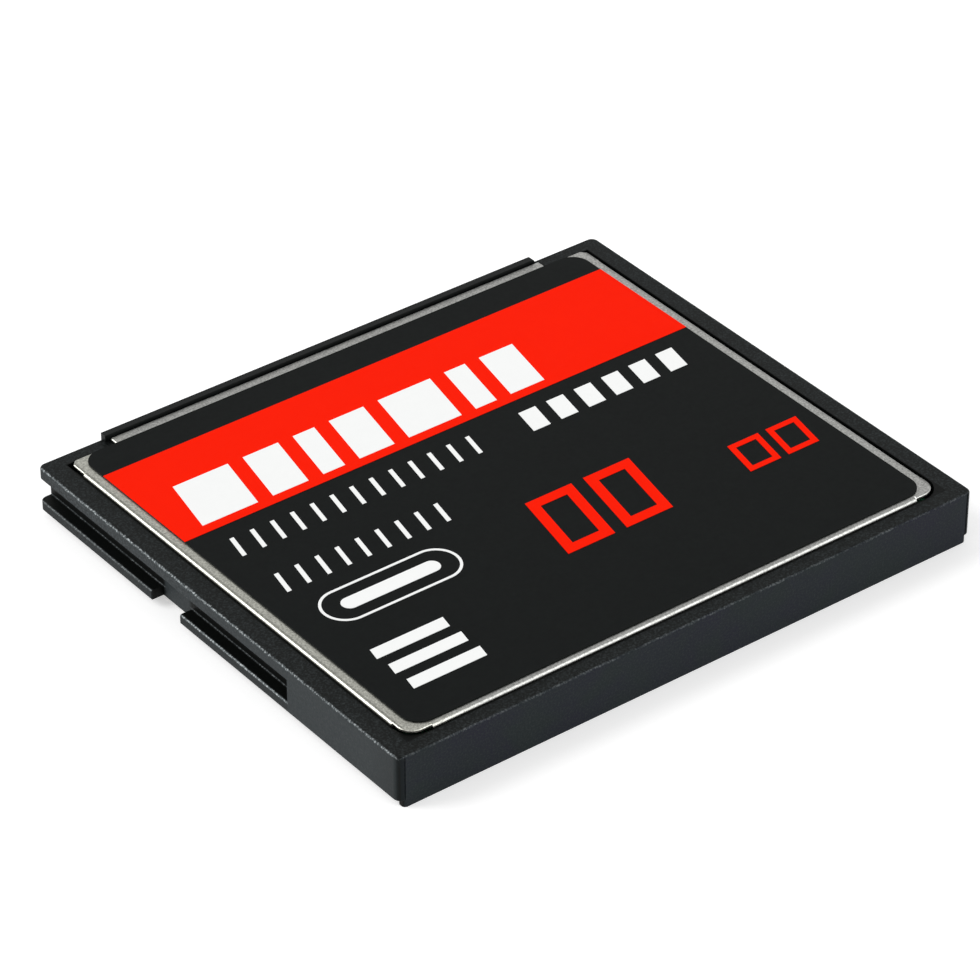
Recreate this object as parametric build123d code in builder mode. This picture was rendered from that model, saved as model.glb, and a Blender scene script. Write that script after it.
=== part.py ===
from build123d import *
import os

os.makedirs("parts", exist_ok=True)

# A flash memory card, 42.8 mm wide, lying with its label up. All sizes are in millimetres.
# The contact end is at +Y, the trailing end with its finger lip at -Y, and +Z is the label side.
# The origin is under the middle of the card, level with the bottom of the lip.

# Card outline
card_width = 42.80
card_length = 36.40
frame_height = 3.10
corner_radius = 0.50
edge_radius = 0.15
bottom_chamfer = 0.08

# Finger lip under the trailing end
lip_drop = 0.45
lip_depth = 0.45
lip_inset = 0.36
lip_end_radius = 0.25
witness_inset = 0.44
witness_width = 0.12
witness_depth = 0.06

# Guide grooves in the sides. They differ, so that the card goes in one way up only.
groove_length = 25.78
groove_depth = 0.88
left_rail = 0.69
left_groove = 1.60
right_rail = 1.16
right_groove = 0.99
groove_chamfer = 0.06
notch_start = 12.00
notch_width = 3.00

# Rims of the frame around the sheet covers
left_rim = 1.47
right_rim = 1.32
trailing_rim = 1.10
contact_rim = 1.05
opening_radius = 1.50
shelf_width = 0.90
shelf_thickness = 0.40

# Sheet covers
sheet = 0.15
bend_radius = 0.25
bend_lap = 0.50
cover_stand = 0.25
cover_sink = 0.05
cover_gap = 0.05
right_cover_gap = 0.36
contact_edge_gap = 0.20
edge_setback = 0.08
cut_edge_chamfer = 0.04
side_flange_clearance = 0.13
trailing_flange_clearance = 0.33
top_flange_depth = 0.90
bottom_flange_depth = 0.80
cover_contact_chamfer = 0.35
top_corner_radius = 1.00
tongue_width = 32.90
tongue_reach = 0.67
tongue_radius = 0.10

# Contact housing, and the two rows of contacts in it
left_post = 4.65
right_post = 5.15
housing_depth = 5.50
housing_end_wall = 0.40
housing_gap = 0.03
rib_rise = 0.46
rib_width = 0.45
rib_end_radius = 0.20
ear_depth = 3.40
contact_pitch = 1.27
row_pitch = 1.27
hole_width = 0.75
lead_in = 0.12
contact_gap = 0.05
contact_wall = 0.09
contact_recess = 0.60
contact_length = 4.20
tail_width = 0.32
tail_thickness = 0.12
tail_lap = 1.30
solder_gap = 0.01

# Circuit board and what is soldered to it
board_gap = 0.25
board_corner_chamfer = 0.80
chip_height = 1.00
chip_standoff = 0.05
chip_chamfer = 0.08
pin_mark_radius = 0.45
pin_mark_sides = 10
pin_mark_depth = 0.05
pin_mark_inset = 1.10
lead_thickness = 0.13
lead_width = 0.22
lead_run = 0.25
lead_foot = 0.55
flash_width = 12.00
flash_length = 18.40
flash_side_margin = 4.20
flash_trailing_margin = 2.20
flash_lead_inset = 0.20
flash_lead_pitch = 0.50
controller_width = 10.00
controller_side_margin = 4.70
controller_trailing_margin = 5.00
controller_lead_inset = 0.90
controller_lead_pitch = 0.80
controller_lead_width = 0.35
regulator_width = 2.90
regulator_length = 1.30
regulator_lead_width = 0.40
regulator_side_margin = 2.70
regulator_setback = 5.60
crystal_width = 3.20
crystal_length = 2.50
crystal_height = 0.70
crystal_chamfer = 0.40
crystal_side_margin = 10.00
crystal_setback = 6.00
small_part_length = 1.00
small_part_width = 0.50
capacitor_height = 0.50
capacitor_count = 5
capacitor_pitch = 3.00
capacitor_setback = 1.60
resistor_height = 0.35
resistor_count = 5
resistor_pitch = 2.20
resistor_setback = 2.00

# Label film and the print on it
label_thickness = 0.08
ink_thickness = 0.02
label_side_margin = 0.67
label_trailing_margin = 0.40
label_contact_margin = 0.05
label_contact_radius = 1.25
label_trailing_radius = 1.25
band_margin = 2.50
band_height = 8.60
print_margin = 2.20
print_slant = 0.20
block_height = 4.40
block_rise = 0.70
block_gap = 1.10
block_widths = [4.00, 2.60, 1.60, 2.60, 4.00, 1.60, 2.60]
small_print_drop = 2.30
tick_width = 0.30
tick_height = 1.90
tick_pitch = 1.45
tick_row_gap = 3.00
lower_tick_count = 9
lower_tick_drop = 6.80
bold_mark_width = 1.30
bold_mark_height = 2.10
bold_mark_pitch = 2.15
bold_mark_count = 6
bold_mark_margin = 3.10
capsule_length = 9.70
capsule_height = 3.20
capsule_line = 0.18
capsule_bar_length = 7.00
capsule_bar_height = 1.10
capsule_drop = 10.80
stripe_length = 5.20
stripe_height = 0.95
stripe_pitch = 1.75
stripe_gap = 1.50
stripe_margin = 3.30
large_frame_width = 3.50
large_frame_height = 5.60
large_frame_line = 0.75
large_frame_pitch = 4.40
small_frame_width = 2.40
small_frame_height = 2.90
small_frame_line = 0.42
small_frame_pitch = 3.00
small_frame_margin = 5.60
frame_print_drop = 14.70

# Places worked out from the sizes above
half_width = card_width / 2
half_length = card_length / 2
underside = lip_drop
frame_top = underside + frame_height
opening_left = -half_width + left_rim
opening_right = half_width - right_rim
opening_middle = (opening_left + opening_right) / 2
opening_back = -half_length + trailing_rim
opening_front = half_length - contact_rim
flange_left = opening_left + cover_gap
flange_right = opening_right - right_cover_gap
flange_back = opening_back + cover_gap
bottom_corner_radius = opening_radius - cover_gap - edge_setback
side_flange_margin = bottom_corner_radius + side_flange_clearance
trailing_flange_margin = bottom_corner_radius + trailing_flange_clearance
plate_left = flange_left + edge_setback
plate_right = flange_right - edge_setback
plate_width = plate_right - plate_left
cover_middle = (plate_left + plate_right) / 2
plate_back = flange_back + edge_setback
plate_front = opening_front - contact_edge_gap
top_cover_z = frame_top + cover_stand
bottom_cover_z = underside + cover_sink
cavity_ceiling = top_cover_z - sheet
cavity_floor = bottom_cover_z + sheet
contact_width = hole_width - 2 * contact_gap
board_thickness = row_pitch - contact_width - 2 * solder_gap
board_middle = (cavity_ceiling + cavity_floor) / 2
board_top = board_middle + board_thickness / 2
board_bottom = board_middle - board_thickness / 2
housing_back = half_length - housing_depth
housing_step = plate_front + cover_gap
housing_left = half_width - left_post
housing_right = half_width - right_post
housing_width = housing_left + housing_right
housing_middle = (housing_right - housing_left) / 2
outer_hole_room = min(housing_left, housing_right) - housing_end_wall - hole_width / 2 - lead_in
contact_count = 2 * int(outer_hole_room / contact_pitch) + 1
inner_half_width = min(-opening_left, opening_right)
board_x = inner_half_width - board_gap
board_back = opening_back + board_gap
board_front = housing_back - board_gap
flash_x = board_x - flash_side_margin - flash_width / 2
flash_y = board_back + flash_trailing_margin + flash_length / 2
flash_lead_count = int((flash_width - 2 * flash_lead_inset) / flash_lead_pitch) + 1
controller_x = -board_x + controller_side_margin + controller_width / 2
controller_y = board_back + controller_trailing_margin + controller_width / 2
controller_lead_count = int((controller_width - 2 * controller_lead_inset) / controller_lead_pitch) + 1
regulator_x = -board_x + regulator_side_margin + regulator_width / 2
regulator_y = board_front - regulator_setback
crystal_x = -board_x + crystal_side_margin + crystal_width / 2
crystal_y = board_front - crystal_setback
capacitor_y = board_front - tail_lap - capacitor_setback
resistor_y = board_back + resistor_setback
label_left = plate_left + label_side_margin
label_right = plate_right - label_side_margin
label_back = flange_back + label_trailing_margin
label_front = plate_front - label_contact_margin
label_top = top_cover_z + label_thickness
band_top = label_front - band_margin
band_bottom = band_top - band_height
print_left = label_left + print_margin
bold_marks_left = label_right - bold_mark_margin - bold_mark_count * bold_mark_pitch
upper_tick_count = int((bold_marks_left - tick_row_gap - print_left) / tick_pitch) + 2
capsule_y = band_bottom - capsule_drop
stripe_room = capsule_y - capsule_height / 2 - stripe_gap - label_back - stripe_margin
stripe_count = int(stripe_room / stripe_pitch) + 1
small_frames_left = label_right - small_frame_margin - small_frame_width / 2
large_frames_middle = (print_left + capsule_length + small_frames_left) / 2


def bent_flange(plane, face, outward, outer_z, inward, depth, length):
    """A flange bent out of a cover's edge, with its outer face at `face` across the plane."""
    root = face - outward * (bend_radius + bend_lap)
    back = face - outward * sheet
    tip = outer_z + inward * depth
    inner_z = outer_z + inward * sheet
    with BuildSketch(plane) as profile:
        Polygon((root, outer_z), (face, outer_z), (face, tip), (back, tip), (back, inner_z), (root, inner_z))
        fillet(profile.vertices().sort_by_distance((face, outer_z))[0], bend_radius)
    extrude(profile.sketch, amount=length / 2, both=True)


def sheet_cover(outer_z, inward, flange_depth, trailing_radius, has_tongue):
    """A flat sheet with flanges bent from its two sides and its trailing end, and perhaps a tongue."""
    side_length = plate_front - plate_back - 2 * side_flange_margin
    side_middle = (plate_front + plate_back) / 2
    trailing_length = plate_width - 2 * trailing_flange_margin
    bend_strip = 2 * (bend_radius - edge_setback)
    with BuildSketch(Plane.XY.offset(outer_z)) as outline:
        with Locations((cover_middle, side_middle)):
            Rectangle(plate_width, plate_front - plate_back)
        fillet(outline.vertices().group_by(Axis.Y)[0], trailing_radius)
        chamfer(outline.vertices().group_by(Axis.Y)[-1], cover_contact_chamfer)
        with Locations((plate_left, side_middle), (plate_right, side_middle)):
            Rectangle(bend_strip, side_length, mode=Mode.SUBTRACT)
        with Locations((cover_middle, plate_back)):
            Rectangle(trailing_length, bend_strip, mode=Mode.SUBTRACT)
        if has_tongue:
            with Locations((0, plate_front)):
                Rectangle(tongue_width, 2 * tongue_reach)
            fillet(outline.vertices().group_by(Axis.Y)[-1], tongue_radius)
    flat = extrude(outline.sketch, amount=inward * sheet)
    chamfer(flat.faces().sort_by(Axis.Z)[-1 if inward < 0 else 0].edges(), cut_edge_chamfer)
    across = Plane.XZ.offset(-side_middle)
    bent_flange(across, flange_left, -1, outer_z, inward, flange_depth, side_length)
    bent_flange(across, flange_right, 1, outer_z, inward, flange_depth, side_length)
    along = Plane.YZ.offset(cover_middle)
    bent_flange(along, flange_back, -1, outer_z, inward, flange_depth, trailing_length)


def contact_row(row_z, tail_z):
    """A row of box-shaped contacts with flat tails that lie on the circuit board."""
    tube_front = half_length - contact_recess
    tube_back = tube_front - contact_length
    with BuildSketch(Plane.XZ.offset(-tube_front)) as tubes:
        with Locations((0, row_z)):
            with GridLocations(contact_pitch, 1, contact_count, 1):
                Rectangle(contact_width, contact_width)
    extrude(tubes.sketch, amount=contact_length)
    with BuildSketch(Plane.XZ.offset(-tube_front)) as bores:
        with Locations((0, row_z)):
            with GridLocations(contact_pitch, 1, contact_count, 1):
                Rectangle(contact_width - 2 * contact_wall, contact_width - 2 * contact_wall)
    extrude(bores.sketch, amount=contact_length - contact_wall, mode=Mode.SUBTRACT)
    with BuildSketch(Plane.XZ.offset(-tube_back)) as tails:
        with Locations((0, tail_z)):
            with GridLocations(contact_pitch, 1, contact_count, 1):
                Rectangle(tail_width, tail_thickness)
    extrude(tails.sketch, amount=tube_back - board_front + tail_lap)


def chip_body(x, y, width, length, surface, side):
    """A moulded chip package on a face of the board, with a pin mark in its corner."""
    with BuildSketch(Plane.XY.offset(surface + side * chip_standoff)) as package:
        with Locations((x, y)):
            Rectangle(width, length)
    package_solid = extrude(package.sketch, amount=side * chip_height)
    chamfer(package_solid.faces().sort_by(Axis.Z)[-1 if side > 0 else 0].edges(), chip_chamfer)
    mark_x = x - width / 2 + pin_mark_inset
    mark_y = y + length / 2 - pin_mark_inset
    with BuildSketch(Plane.XY.offset(surface + side * (chip_standoff + chip_height))) as mark:
        with Locations((mark_x, mark_y)):
            RegularPolygon(pin_mark_radius, pin_mark_sides)
    extrude(mark.sketch, amount=-side * pin_mark_depth, mode=Mode.SUBTRACT)


def lead_row(x, y, outward, body_half, count, pitch, width, surface, side):
    """A row of bent leads from one side of a chip down to the board."""
    outward = Vector(*outward)
    along = Vector(0, 0, 1).cross(outward)
    start = Vector(x, y, surface) + outward * body_half
    shoulder = chip_standoff + chip_height / 2
    planes = [
        Plane(
            origin=start + along * (pitch * (index - (count - 1) / 2)),
            x_dir=outward,
            z_dir=outward.cross(Vector(0, 0, side)),
        )
        for index in range(count)
    ]
    with BuildSketch(*planes) as leads:
        Polygon(
            (0, shoulder),
            (lead_run, 0),
            (lead_run + lead_foot, 0),
            (lead_run + lead_foot, lead_thickness),
            (lead_run + lead_thickness / 2, lead_thickness),
            (0, shoulder + lead_thickness),
        )
    extrude(leads.sketch, amount=width / 2, both=True)


def slanted(width, height, mode=Mode.ADD):
    """A block that leans to the right, about its middle."""
    lean = print_slant * height / 2
    low, high = -height / 2, height / 2
    left, right = -width / 2, width / 2
    Polygon((left - lean, low), (right - lean, low), (right + lean, high), (left + lean, high), mode=mode)


def slanted_frame(width, height, line):
    """The outline of a leaning block."""
    slanted(width, height)
    slanted(width - 2 * line, height - 2 * line, mode=Mode.SUBTRACT)


# Moulded frame: four walls, guide grooves, finger lip, the mould's two witness grooves beside the
# trailing corners, and the shelves that carry the board
with BuildPart() as frame:
    with BuildSketch(Plane.XY.offset(underside)):
        Rectangle(card_width, card_length)
    extrude(amount=frame_height)
    fillet(frame.edges().filter_by(Axis.Z), corner_radius)
    fillet(frame.faces().sort_by(Axis.Z)[-1].edges(), edge_radius)
    chamfer(frame.faces().sort_by(Axis.Z)[0].edges(), bottom_chamfer)
    for witness_x in (-half_width + witness_inset, half_width - witness_inset):
        with Locations((witness_x, -half_length, underside + frame_height / 2)):
            Box(witness_width, 2 * witness_depth, frame_height, mode=Mode.SUBTRACT)
    with BuildSketch() as lip:
        with Locations((0, -half_length + lip_depth / 2)):
            Rectangle(card_width - 2 * lip_inset, lip_depth)
        fillet(lip.vertices().group_by(Axis.Y)[0], lip_end_radius)
    extrude(amount=underside + 2 * bottom_chamfer)
    with BuildSketch(Plane.XY.offset(underside)) as opening:
        with Locations((opening_middle, (opening_front + opening_back) / 2)):
            Rectangle(opening_right - opening_left, opening_front - opening_back)
        fillet(opening.vertices().group_by(Axis.Y)[0], opening_radius)
        with Locations((housing_middle, half_length)):
            Rectangle(housing_width + 2 * housing_gap, 2 * contact_rim)
    extrude(amount=frame_height, mode=Mode.SUBTRACT)
    groove_middle = half_length - groove_length / 2
    notch_middle = half_length - notch_start - notch_width / 2
    for side, rail, height in [(-1, left_rail, left_groove), (1, right_rail, right_groove)]:
        groove_bottom = underside + rail
        groove_top = groove_bottom + height
        with Locations((side * half_width, groove_middle, groove_bottom + height / 2)):
            Box(2 * groove_depth, groove_length, height, mode=Mode.SUBTRACT)
        with Locations((side * half_width, notch_middle, underside + rail / 2)):
            Box(2 * groove_depth, notch_width, rail, mode=Mode.SUBTRACT)
        mouth = frame.edges().filter_by(Axis.Y).filter_by_position(Axis.Z, groove_bottom, groove_top)
        chamfer(mouth.group_by(Axis.X)[0 if side < 0 else -1], groove_chamfer)
    with BuildSketch(Plane.XY.offset(board_bottom - shelf_thickness)):
        for shelf_x in (opening_left + shelf_width / 2, opening_right - shelf_width / 2):
            with Locations((shelf_x, (opening_front + opening_back) / 2)):
                Rectangle(shelf_width, opening_front - opening_back)
    extrude(amount=shelf_thickness)
frame.part.label = "frame"
export_step(frame.part, "parts/frame.step")

# Label-side cover, with the bare tongue that laps over the contact housing
with BuildPart() as top_cover:
    sheet_cover(top_cover_z, -1, top_flange_depth, top_corner_radius, True)
top_cover.part.label = "top_cover"
export_step(top_cover.part, "parts/top_cover.step")

# Underside cover
with BuildPart() as bottom_cover:
    sheet_cover(bottom_cover_z, 1, bottom_flange_depth, bottom_corner_radius, False)
bottom_cover.part.label = "bottom_cover"
export_step(bottom_cover.part, "parts/bottom_cover.step")

# Label film
with BuildPart() as label_film:
    with BuildSketch(Plane.XY.offset(top_cover_z)) as film:
        with Locations((cover_middle, (label_front + label_back) / 2)):
            Rectangle(label_right - label_left, label_front - label_back)
        fillet(film.vertices().group_by(Axis.Y)[0], label_trailing_radius)
        fillet(film.vertices().group_by(Axis.Y)[-1], label_contact_radius)
    extrude(amount=label_thickness)
label_film.part.label = "label_film"
export_step(label_film.part, "parts/label_film.step")

# Red band across the label
with BuildPart() as label_red_band:
    with BuildSketch(Plane.XY.offset(label_top)):
        with Locations((cover_middle, (band_top + band_bottom) / 2)):
            Rectangle(label_right - label_left, band_height)
    extrude(amount=ink_thickness)
label_red_band.part.label = "label_red_band"
export_step(label_red_band.part, "parts/label_red_band.step")

# White marks: leaning blocks on the band, and ticks, a capsule and stripes below it
with BuildPart() as label_white_print:
    with BuildSketch(Plane.XY.offset(label_top + ink_thickness)):
        block_start = print_left
        for width in block_widths:
            with Locations((block_start + width / 2, band_bottom + block_rise + block_height / 2)):
                slanted(width, block_height)
            block_start = block_start + width + block_gap
    extrude(amount=ink_thickness)
    with BuildSketch(Plane.XY.offset(label_top)):
        for count, drop in [(upper_tick_count, small_print_drop), (lower_tick_count, lower_tick_drop)]:
            for index in range(count):
                with Locations((print_left + index * tick_pitch, band_bottom - drop)):
                    slanted(tick_width, tick_height)
        for index in range(bold_mark_count):
            bold_mark_x = label_right - bold_mark_margin - index * bold_mark_pitch
            with Locations((bold_mark_x, band_bottom - small_print_drop)):
                slanted(bold_mark_width, bold_mark_height)
        with Locations((print_left + capsule_length / 2, capsule_y)):
            SlotOverall(capsule_length, capsule_height)
            inner_length = capsule_length - 2 * capsule_line
            SlotOverall(inner_length, capsule_height - 2 * capsule_line, mode=Mode.SUBTRACT)
            SlotOverall(capsule_bar_length, capsule_bar_height)
        for index in range(stripe_count):
            stripe_y = label_back + stripe_margin + index * stripe_pitch
            with Locations((print_left + stripe_length / 2, stripe_y)):
                slanted(stripe_length, stripe_height)
    extrude(amount=ink_thickness)
label_white_print.part.label = "label_white_print"
export_step(label_white_print.part, "parts/label_white_print.step")

# Red marks: two large and two small leaning frames on one line
with BuildPart() as label_red_print:
    with BuildSketch(Plane.XY.offset(label_top)):
        base = band_bottom - frame_print_drop
        for index in range(2):
            large_x = large_frames_middle + (index - 0.5) * large_frame_pitch
            small_x = label_right - small_frame_margin + index * small_frame_pitch
            with Locations((large_x, base + large_frame_height / 2)):
                slanted_frame(large_frame_width, large_frame_height, large_frame_line)
            with Locations((small_x, base + small_frame_height / 2)):
                slanted_frame(small_frame_width, small_frame_height, small_frame_line)
    extrude(amount=ink_thickness)
label_red_print.part.label = "label_red_print"
export_step(label_red_print.part, "parts/label_red_print.step")

# Contact housing: a front block between the frame's end posts, a rear block under the covers,
# ears that rest on the frame's shelves behind the posts, and the rib beside the cover's tongue
with BuildPart() as connector_housing:
    with BuildSketch(Plane.XY.offset(underside)):
        with Locations((housing_middle, (housing_step + half_length) / 2)):
            Rectangle(housing_width, half_length - housing_step)
    extrude(amount=frame_height)
    with BuildSketch(Plane.XY.offset(cavity_floor + cover_gap)):
        with Locations((housing_middle, (housing_back + housing_step) / 2)):
            Rectangle(housing_width, housing_step - housing_back)
    extrude(amount=cavity_ceiling - cavity_floor - 2 * cover_gap)
    ear_front = opening_front - housing_gap
    with BuildSketch(Plane.XY.offset(board_bottom)):
        with Locations((0, ear_front - ear_depth / 2)):
            Rectangle(2 * (inner_half_width - housing_gap), ear_depth)
    extrude(amount=top_cover_z - top_flange_depth - cover_gap - board_bottom)
    with BuildSketch(Plane.XY.offset(frame_top)):
        with Locations((housing_middle, half_length - rib_width / 2)):
            Rectangle(housing_width, rib_width)
    extrude(amount=rib_rise)
    rib_top = connector_housing.faces().sort_by(Axis.Z)[-1]
    fillet(rib_top.edges().sort_by(Axis.X)[-1], rib_end_radius)
    front_face = Plane(origin=(0, half_length, board_middle), x_dir=(-1, 0, 0), z_dir=(0, 1, 0))
    with BuildSketch(front_face):
        with GridLocations(contact_pitch, row_pitch, contact_count, 2):
            Rectangle(hole_width, hole_width)
    extrude(amount=-housing_depth, mode=Mode.SUBTRACT)
    with BuildSketch(front_face):
        with GridLocations(contact_pitch, row_pitch, contact_count, 2):
            Rectangle(hole_width + 2 * lead_in, hole_width + 2 * lead_in)
    extrude(amount=-lead_in, taper=45, mode=Mode.SUBTRACT)
connector_housing.part.label = "connector_housing"
export_step(connector_housing.part, "parts/connector_housing.step")

# Contacts, with their tails above and below the edge of the board
with BuildPart() as upper_contacts:
    contact_row(board_middle + row_pitch / 2, board_top + solder_gap + tail_thickness / 2)
upper_contacts.part.label = "upper_contacts"
export_step(upper_contacts.part, "parts/upper_contacts.step")

with BuildPart() as lower_contacts:
    contact_row(board_middle - row_pitch / 2, board_bottom - solder_gap - tail_thickness / 2)
lower_contacts.part.label = "lower_contacts"
export_step(lower_contacts.part, "parts/lower_contacts.step")

# Circuit board, on the shelves of the frame
with BuildPart() as circuit_board:
    with BuildSketch(Plane.XY.offset(board_bottom)) as board:
        with Locations((0, (board_front + board_back) / 2)):
            Rectangle(2 * board_x, board_front - board_back)
        chamfer(board.vertices(), board_corner_chamfer)
    extrude(amount=board_thickness)
circuit_board.part.label = "circuit_board"
export_step(circuit_board.part, "parts/circuit_board.step")

# Flash chips, one on each face of the board
with BuildPart() as flash_chip_top:
    chip_body(flash_x, flash_y, flash_width, flash_length, board_top, 1)
flash_chip_top.part.label = "flash_chip_top"
export_step(flash_chip_top.part, "parts/flash_chip_top.step")

with BuildPart() as flash_chip_bottom:
    chip_body(flash_x, flash_y, flash_width, flash_length, board_bottom, -1)
flash_chip_bottom.part.label = "flash_chip_bottom"
export_step(flash_chip_bottom.part, "parts/flash_chip_bottom.step")

with BuildPart() as flash_chip_top_leads:
    for outward in [(0, -1, 0), (0, 1, 0)]:
        lead_row(
            flash_x, flash_y, outward, flash_length / 2,
            flash_lead_count, flash_lead_pitch, lead_width, board_top, 1,
        )
flash_chip_top_leads.part.label = "flash_chip_top_leads"
export_step(flash_chip_top_leads.part, "parts/flash_chip_top_leads.step")

with BuildPart() as flash_chip_bottom_leads:
    for outward in [(0, -1, 0), (0, 1, 0)]:
        lead_row(
            flash_x, flash_y, outward, flash_length / 2,
            flash_lead_count, flash_lead_pitch, lead_width, board_bottom, -1,
        )
flash_chip_bottom_leads.part.label = "flash_chip_bottom_leads"
export_step(flash_chip_bottom_leads.part, "parts/flash_chip_bottom_leads.step")

# Controller, with leads on all four sides
with BuildPart() as controller_chip:
    chip_body(controller_x, controller_y, controller_width, controller_width, board_top, 1)
controller_chip.part.label = "controller_chip"
export_step(controller_chip.part, "parts/controller_chip.step")

with BuildPart() as controller_leads:
    for outward in [(1, 0, 0), (0, 1, 0), (-1, 0, 0), (0, -1, 0)]:
        lead_row(
            controller_x, controller_y, outward, controller_width / 2,
            controller_lead_count, controller_lead_pitch, controller_lead_width, board_top, 1,
        )
controller_leads.part.label = "controller_leads"
export_step(controller_leads.part, "parts/controller_leads.step")

# Three-legged voltage regulator
with BuildPart() as voltage_regulator:
    with BuildSketch(Plane.XY.offset(board_top + chip_standoff)):
        with Locations((regulator_x, regulator_y)):
            Rectangle(regulator_width, regulator_length)
    extrude(amount=chip_height)
    chamfer(voltage_regulator.faces().sort_by(Axis.Z)[-1].edges(), chip_chamfer)
voltage_regulator.part.label = "voltage_regulator"
export_step(voltage_regulator.part, "parts/voltage_regulator.step")

with BuildPart() as regulator_leads:
    for outward, count in [((0, -1, 0), 2), ((0, 1, 0), 1)]:
        lead_row(
            regulator_x, regulator_y, outward, regulator_length / 2,
            count, regulator_width - 2 * regulator_lead_width, regulator_lead_width, board_top, 1,
        )
regulator_leads.part.label = "regulator_leads"
export_step(regulator_leads.part, "parts/regulator_leads.step")

# Crystal in its metal can
with BuildPart() as crystal:
    with BuildSketch(Plane.XY.offset(board_top)):
        with Locations((crystal_x, crystal_y)):
            Rectangle(crystal_width, crystal_length)
    extrude(amount=crystal_height)
    chamfer(crystal.edges().filter_by(Axis.Z), crystal_chamfer)
crystal.part.label = "crystal"
export_step(crystal.part, "parts/crystal.step")

# Chip capacitors in a row behind the contacts
with BuildPart() as capacitors:
    with BuildSketch(Plane.XY.offset(board_top)):
        with Locations((controller_x, capacitor_y)):
            with GridLocations(capacitor_pitch, 1, capacitor_count, 1):
                Rectangle(small_part_length, small_part_width)
    extrude(amount=capacitor_height)
capacitors.part.label = "capacitors"
export_step(capacitors.part, "parts/capacitors.step")

# Chip resistors in a row beside the controller
with BuildPart() as resistors:
    with BuildSketch(Plane.XY.offset(board_top)):
        with Locations((controller_x, resistor_y)):
            with GridLocations(resistor_pitch, 1, resistor_count, 1):
                Rectangle(small_part_width, small_part_length)
    extrude(amount=resistor_height)
resistors.part.label = "resistors"
export_step(resistors.part, "parts/resistors.step")
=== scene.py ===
import math

import bpy
from mathutils import Matrix, Vector


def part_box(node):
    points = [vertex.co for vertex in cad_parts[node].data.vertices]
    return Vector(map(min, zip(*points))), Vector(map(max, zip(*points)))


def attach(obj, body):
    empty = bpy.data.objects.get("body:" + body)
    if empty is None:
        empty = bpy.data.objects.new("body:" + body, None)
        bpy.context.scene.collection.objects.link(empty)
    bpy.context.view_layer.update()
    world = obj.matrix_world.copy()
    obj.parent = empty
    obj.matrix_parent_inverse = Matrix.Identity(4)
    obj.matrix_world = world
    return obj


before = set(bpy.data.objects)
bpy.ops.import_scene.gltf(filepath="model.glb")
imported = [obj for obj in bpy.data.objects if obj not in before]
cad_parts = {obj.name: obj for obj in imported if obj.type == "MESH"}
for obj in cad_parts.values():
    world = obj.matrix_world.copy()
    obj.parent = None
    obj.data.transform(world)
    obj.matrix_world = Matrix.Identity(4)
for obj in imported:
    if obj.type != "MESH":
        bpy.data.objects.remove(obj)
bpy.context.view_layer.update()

# A flash memory card on a pale floor. Lengths are in metres, and MM turns millimetres into them.
MM = 0.001

# The camera, as it stood for the photograph, in millimetres from the card's origin
CAMERA_PLACE_MM = (-146.796, -189.834, 169.157)
CAMERA_AIM_MM = (-1.603, -0.791, 3.800)
CAMERA_ROLL_DEG = -0.07
CAMERA_LENS_MM = 178.71
SENSOR_MM = 36.0

# The nearest and farthest that the camera sees, in metres
CAMERA_NEAREST = 0.01
CAMERA_FARTHEST = 20.0

# Places on the card, read from its pieces
CARD_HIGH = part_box("frame")[1]
HALF_WIDTH = CARD_HIGH.x
HALF_LENGTH = CARD_HIGH.y
FRAME_TOP = CARD_HIGH.z
BOARD_LOW, BOARD_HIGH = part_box("circuit_board")
BOARD_MIDDLE = (BOARD_LOW.z + BOARD_HIGH.z) / 2

# The guide grooves, in millimetres: their length from the contact end, their depth, and for each
# side the heights of the lower and upper edge
GROOVE_LENGTH_MM = 25.78
GROOVE_DEPTH_MM = 0.88
GROOVE_EDGES_MM = {-1: (1.14, 2.74), 1: (1.61, 2.60)}
GROOVE_END = HALF_LENGTH - GROOVE_LENGTH_MM * MM
JUST_PAST_GROOVE = (GROOVE_DEPTH_MM + 0.05) * MM

# The lower rails, in millimetres: the heights between which rubbing reaches above them, and how far
# below the frame's top their walls and grooves are sure to start
RAIL_RUBBED_MM = (1.0, 1.4)
BELOW_TOP_MM = 0.5

# The radius of the frame's upright corners, in millimetres
CORNER_RADIUS_MM = 0.50

# The notch that parts each lower rail, in millimetres from the contact end, and how it fades
NOTCH_FROM_END_MM = (12.00, 15.00)
NOTCH_FADE_MM = 0.4

# The opening in the frame that the sheet covers fill, in millimetres, and how far out from it the
# painted shadow of the covers is full and where it ends
OPENING_MIDDLE_MM = (0.075, 0.025)
OPENING_HALF_MM = (20.005, 17.125)
OPENING_SHADOW_MM = (0.05, 0.11)

# The pale wear and painted highlights along the frame's edges, in millimetres: how ragged they are, how
# far from the edge they are full, and how far from the edge they end. The last value, without a unit, is
# their strength along a groove's upper edge.
SIDE_WEAR_AND_HIGHLIGHT_MM = (0.34, 0.15, 0.31)
END_WEAR_AND_HIGHLIGHT_MM = (0.22, 0.14, 0.26)
GROOVE_WEAR_AND_HIGHLIGHT_MM = (0.14, 0.06, 0.16)
RAIL_WEAR_AND_HIGHLIGHT_MM = (0.14, 0.085, 0.185)
GROOVE_WEAR_AND_HIGHLIGHT = 0.40

# Where wear and the edges' painted highlights grow towards the contacts, in millimetres along the card
# from its middle
EDGE_WEAR_AND_HIGHLIGHT_GROWS_MM = (-9, -4)
WALL_WEAR_GROWS_MM = (-8, 14)

# Painted shade on the upper cover, as its brightness against its flats: where a side bend starts, in the
# seam that its flanges make with the frame, and at the foot of a side bend
BEND_SHADE = 0.62
SEAM_SHADE = 0.3
FOOT_SHADE = 0.2

# The side of the covers that hands hold, in millimetres across the card: handled fully, and not at all
HELD_MM = (-19, -15)

# The board, in millimetres: the pitch of its glass cloth and of its tracks
CLOTH_PITCH_MM = 0.5
TRACK_PITCH_MM = 0.60

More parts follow.
